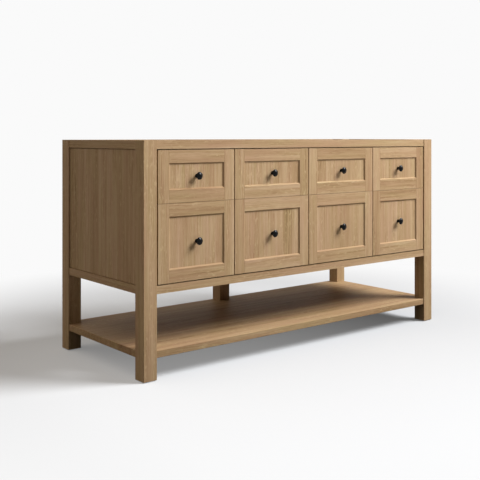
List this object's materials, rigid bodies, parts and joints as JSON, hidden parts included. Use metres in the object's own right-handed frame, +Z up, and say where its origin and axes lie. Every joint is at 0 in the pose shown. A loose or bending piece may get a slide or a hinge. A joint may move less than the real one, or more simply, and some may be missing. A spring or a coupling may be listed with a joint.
{
  "type": "bathroom vanity cabinet",
  "caption": "Freestanding oak bathroom vanity base: framed drawer fronts with round black knobs, square legs, an open lower shelf and an open top for a basin slab.",
  "frame": {"origin": "on the floor, at the middle of the box round the whole cabinet, knobs included", "axes": "+Z up, drawers face -Y and open along -Y, +X to the right along the front"},
  "size_m": [1.524, 0.612, 0.814],
  "materials": {
    "oak": "satin lacquered light oak",
    "birch_ply": "matt lacquered birch plywood",
    "black_metal": "satin black lacquer on turned metal",
    "runner_steel": "zinc plated rolled steel",
    "screw_steel": "zinc plated",
    "glide_plastic": "matt dark plastic"
  },
  "bodies": {
    "carcass": {"front_leg_left": "oak", "front_leg_right": "oak", "rear_leg_left": "oak", "rear_leg_right": "oak", "rear_leg_centre": "oak", "foot_glides": "glide_plastic", "front_top_rail": "oak", "front_bottom_rail": "oak", "rear_top_rail": "oak", "rear_bottom_rail": "oak", "left_top_rail": "oak", "left_bottom_rail": "oak", "right_top_rail": "oak", "right_bottom_rail": "oak", "left_side_panel": "oak", "right_side_panel": "oak", "back_panel": "birch_ply", "cabinet_floor": "birch_ply", "partition_left": "birch_ply", "partition_centre": "birch_ply", "partition_right": "birch_ply", "shelf": "oak", "corner_blocks": "birch_ply", "corner_block_screws": "screw_steel", "runner_packers": "birch_ply", "upper_carcass_runners": "runner_steel", "lower_carcass_runners": "runner_steel"},
    "upper_left_outer_drawer": {"upper_left_outer_front": "oak", "upper_left_outer_box": "birch_ply", "upper_left_outer_knob": "black_metal", "upper_left_outer_runners": "runner_steel"},
    "upper_left_inner_drawer": {"upper_left_inner_front": "oak", "upper_left_inner_box": "birch_ply", "upper_left_inner_knob": "black_metal", "upper_left_inner_runners": "runner_steel"},
    "upper_right_inner_drawer": {"upper_right_inner_front": "oak", "upper_right_inner_box": "birch_ply", "upper_right_inner_knob": "black_metal", "upper_right_inner_runners": "runner_steel"},
    "upper_right_outer_drawer": {"upper_right_outer_front": "oak", "upper_right_outer_box": "birch_ply", "upper_right_outer_knob": "black_metal", "upper_right_outer_runners": "runner_steel"},
    "lower_left_outer_drawer": {"lower_left_outer_front": "oak", "lower_left_outer_box": "birch_ply", "lower_left_outer_knob": "black_metal", "lower_left_outer_runners": "runner_steel"},
    "lower_left_inner_drawer": {"lower_left_inner_front": "oak", "lower_left_inner_box": "birch_ply", "lower_left_inner_knob": "black_metal", "lower_left_inner_runners": "runner_steel"},
    "lower_right_inner_drawer": {"lower_right_inner_front": "oak", "lower_right_inner_box": "birch_ply", "lower_right_inner_knob": "black_metal", "lower_right_inner_runners": "runner_steel"},
    "lower_right_outer_drawer": {"lower_right_outer_front": "oak", "lower_right_outer_box": "birch_ply", "lower_right_outer_knob": "black_metal", "lower_right_outer_runners": "runner_steel"}
  },
  "joints": [
    {"name": "upper_left_outer_slide", "type": "slide", "parent": "carcass", "child": "upper_left_outer_drawer", "axis": [0, -1, 0], "range_m": [0, 0.19]},
    {"name": "upper_left_inner_slide", "type": "slide", "parent": "carcass", "child": "upper_left_inner_drawer", "axis": [0, -1, 0], "range_m": [0, 0.19]},
    {"name": "upper_right_inner_slide", "type": "slide", "parent": "carcass", "child": "upper_right_inner_drawer", "axis": [0, -1, 0], "range_m": [0, 0.19]},
    {"name": "upper_right_outer_slide", "type": "slide", "parent": "carcass", "child": "upper_right_outer_drawer", "axis": [0, -1, 0], "range_m": [0, 0.19]},
    {"name": "lower_left_outer_slide", "type": "slide", "parent": "carcass", "child": "lower_left_outer_drawer", "axis": [0, -1, 0], "range_m": [0, 0.3]},
    {"name": "lower_left_inner_slide", "type": "slide", "parent": "carcass", "child": "lower_left_inner_drawer", "axis": [0, -1, 0], "range_m": [0, 0.3]},
    {"name": "lower_right_inner_slide", "type": "slide", "parent": "carcass", "child": "lower_right_inner_drawer", "axis": [0, -1, 0], "range_m": [0, 0.3]},
    {"name": "lower_right_outer_slide", "type": "slide", "parent": "carcass", "child": "lower_right_outer_drawer", "axis": [0, -1, 0], "range_m": [0, 0.3]}
  ]
}
